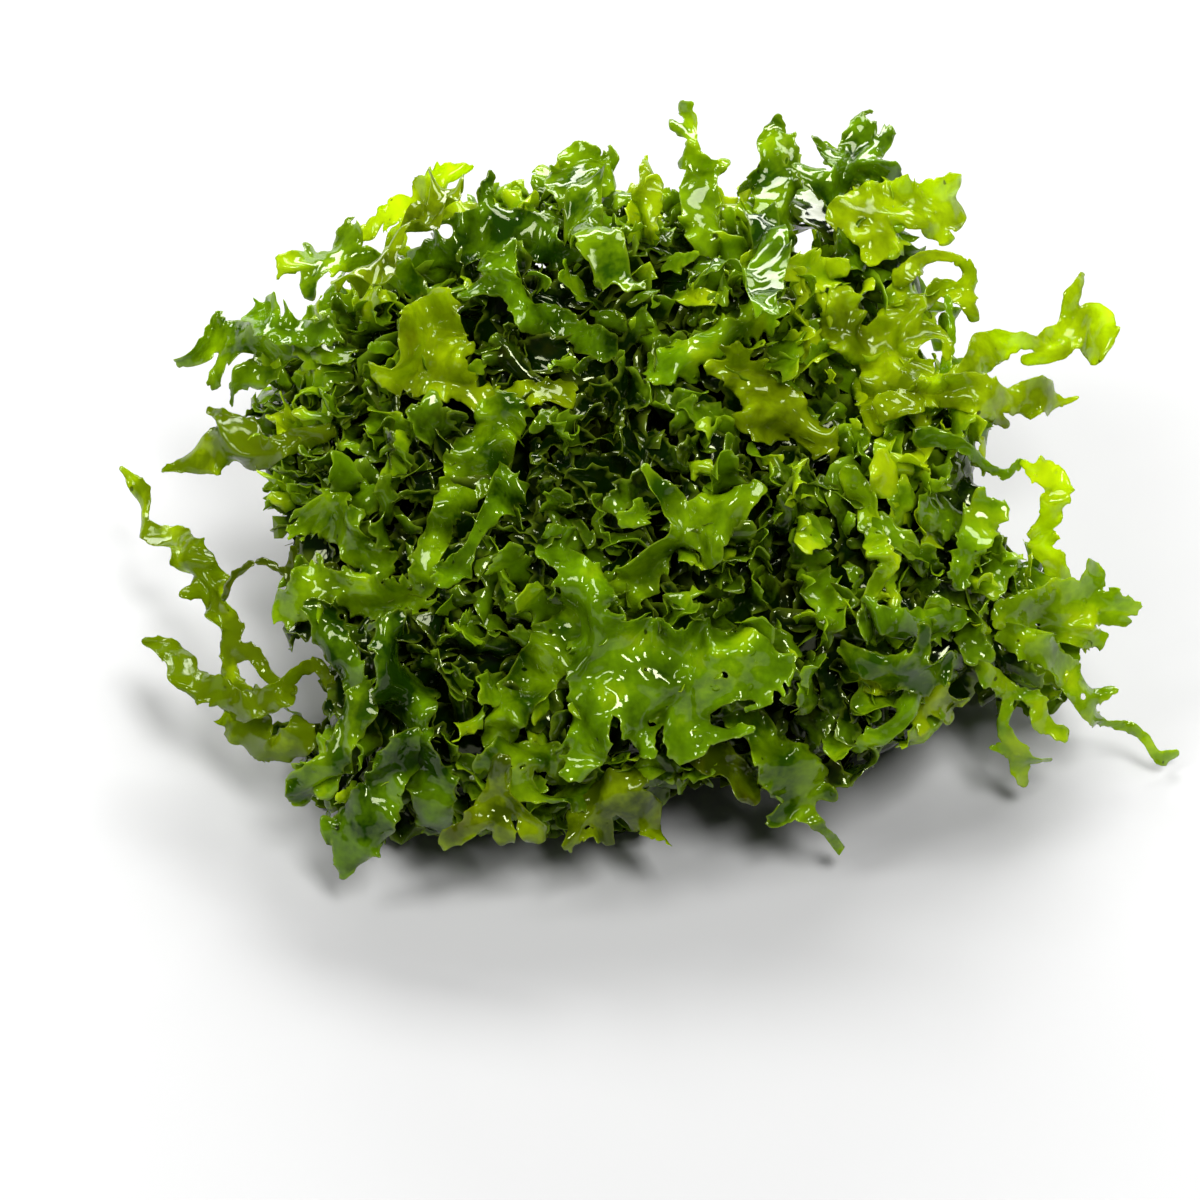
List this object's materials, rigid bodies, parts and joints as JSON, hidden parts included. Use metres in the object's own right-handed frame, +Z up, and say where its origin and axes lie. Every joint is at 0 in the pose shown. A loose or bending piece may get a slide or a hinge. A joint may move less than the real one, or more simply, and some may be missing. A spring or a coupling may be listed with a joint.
{
  "type": "pellia liverwort clump",
  "caption": "Loose clump of pellia liverwort: a packed mat of short ribbon thalli with longer forked, ruffled thalli growing out of it on all sides.",
  "frame": {"origin": "the middle of the flat spot that the clump rests on", "axes": "+Z up, +X along the clump's longest side, -Y towards the side seen in the picture"},
  "size_m": [0.0765, 0.0493, 0.037],
  "materials": {
    "packed_green": "wet thallus tissue, deep green",
    "deep_green": "wet thallus tissue, deep green",
    "fresh_green": "wet thallus tissue, fresh green",
    "yellow_green": "wet, thin thallus tissue, yellow-green",
    "olive_green": "wet thallus tissue, olive"
  },
  "bodies": {
    "root": {"tangled_mat": "packed_green", "top_knobbed_thallus": "fresh_green", "top_tongue_thallus": "yellow_green", "tallest_thallus": "fresh_green", "upright_top_thallus": "fresh_green", "crested_top_thallus": "deep_green", "broad_top_right_thallus": "yellow_green", "yellow_top_left_thallus": "yellow_green", "dark_top_left_thallus": "deep_green", "arched_right_thallus": "olive_green", "right_strap_thallus": "deep_green", "upper_right_lobed_thallus": "yellow_green", "right_forked_thallus": "yellow_green", "right_pointed_thallus": "olive_green", "hooked_right_thallus": "deep_green", "right_upright_thallus": "yellow_green", "right_leafy_thallus": "deep_green", "right_cluster_thallus": "fresh_green", "right_tailed_thallus": "fresh_green", "right_starred_thallus": "deep_green", "left_knobbed_thallus": "fresh_green", "left_spiky_thallus": "deep_green", "upper_left_strap_thallus": "fresh_green", "left_blunt_thallus": "yellow_green", "far_left_trailing_thallus": "yellow_green", "left_lower_thallus": "yellow_green", "thin_left_thallus": "olive_green", "left_diamond_thallus": "fresh_green", "glossy_upper_thallus": "deep_green", "bright_plate_thallus": "olive_green", "upper_middle_leafy_thallus": "deep_green", "right_middle_thallus": "olive_green", "glossy_right_ribbon_thallus": "fresh_green", "right_front_leafy_thallus": "deep_green", "middle_bright_thallus": "fresh_green", "bowed_left_thallus": "fresh_green", "tongue_thallus": "deep_green", "left_strip_thallus": "deep_green", "square_ended_thallus": "fresh_green", "lower_left_band_thallus": "deep_green", "glossy_lower_left_thallus": "deep_green", "pale_front_thallus": "fresh_green", "front_band_thallus": "fresh_green", "front_left_lobed_thallus": "olive_green", "front_middle_lobed_thallus": "olive_green", "front_olive_thallus": "olive_green", "front_right_fanned_thallus": "fresh_green", "olive_front_right_thallus": "olive_green", "front_right_strap_thallus": "deep_green", "right_front_forked_thallus": "fresh_green", "largest_front_thallus": "deep_green", "back_left_thallus": "fresh_green", "back_upper_left_thallus": "deep_green", "back_upper_thallus": "fresh_green", "back_upper_right_thallus": "olive_green", "back_middle_thallus": "fresh_green", "back_lower_left_thallus": "deep_green", "back_lower_thallus": "olive_green", "back_lower_right_thallus": "fresh_green"}
  },
  "joints": []
}
